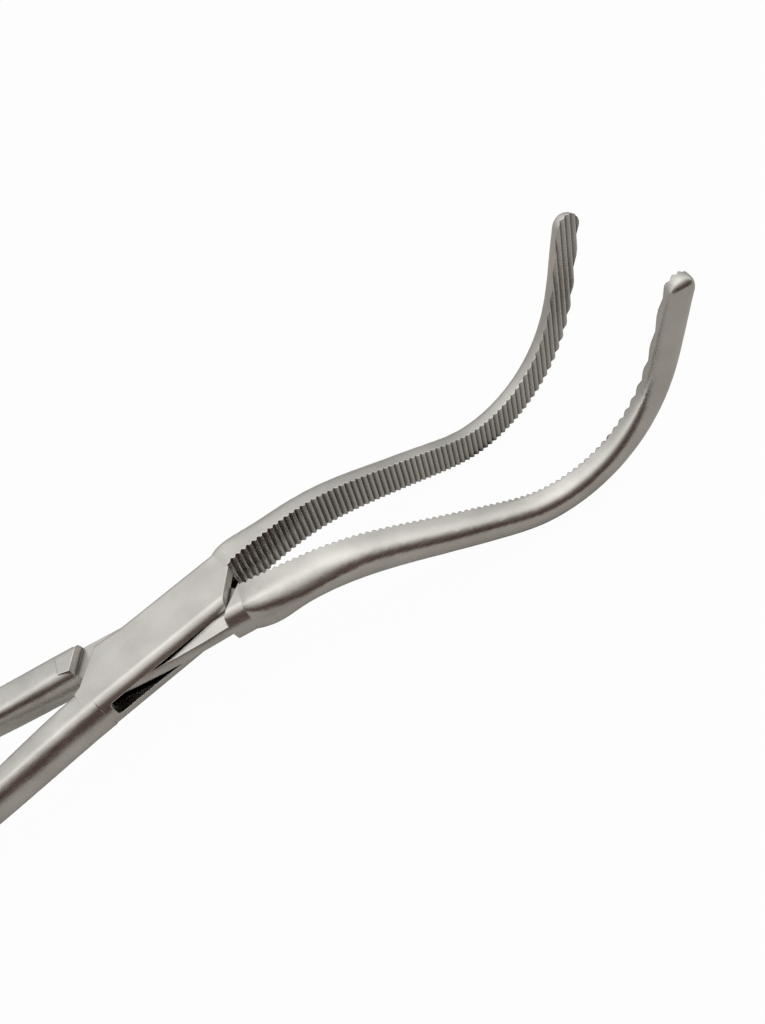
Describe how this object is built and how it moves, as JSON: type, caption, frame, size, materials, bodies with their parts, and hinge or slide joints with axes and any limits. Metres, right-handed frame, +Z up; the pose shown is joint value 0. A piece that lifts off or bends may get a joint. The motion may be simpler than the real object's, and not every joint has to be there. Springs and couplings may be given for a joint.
{
  "type": "kidney pedicle clamp",
  "caption": "Long box-lock clamp with bowed, S-curved jaws cross-serrated along their faces, and finger rings.",
  "frame": {"origin": "under the middle of the resting clamp, on the surface it lies on", "axes": "+X towards the jaw tips, +Y towards the box half's jaw, +Z up; XZ is the plane between the jaws"},
  "size_m": [0.239, 0.102, 0.0323],
  "materials": {
    "forged_steel": "satin",
    "pin_steel": "satin"
  },
  "bodies": {
    "box_body": {"box_half": "forged_steel", "lock_pin": "pin_steel"},
    "through_body": {"pass_through_half": "forged_steel"}
  },
  "joints": [
    {"name": "box_lock_hinge", "type": "hinge", "parent": "box_body", "child": "through_body", "pos_m": [0.03234, 0.00187, 0.01047], "axis": [-0.0555, 0, 0.9985], "range_deg": [-30, 15.4]}
  ]
}
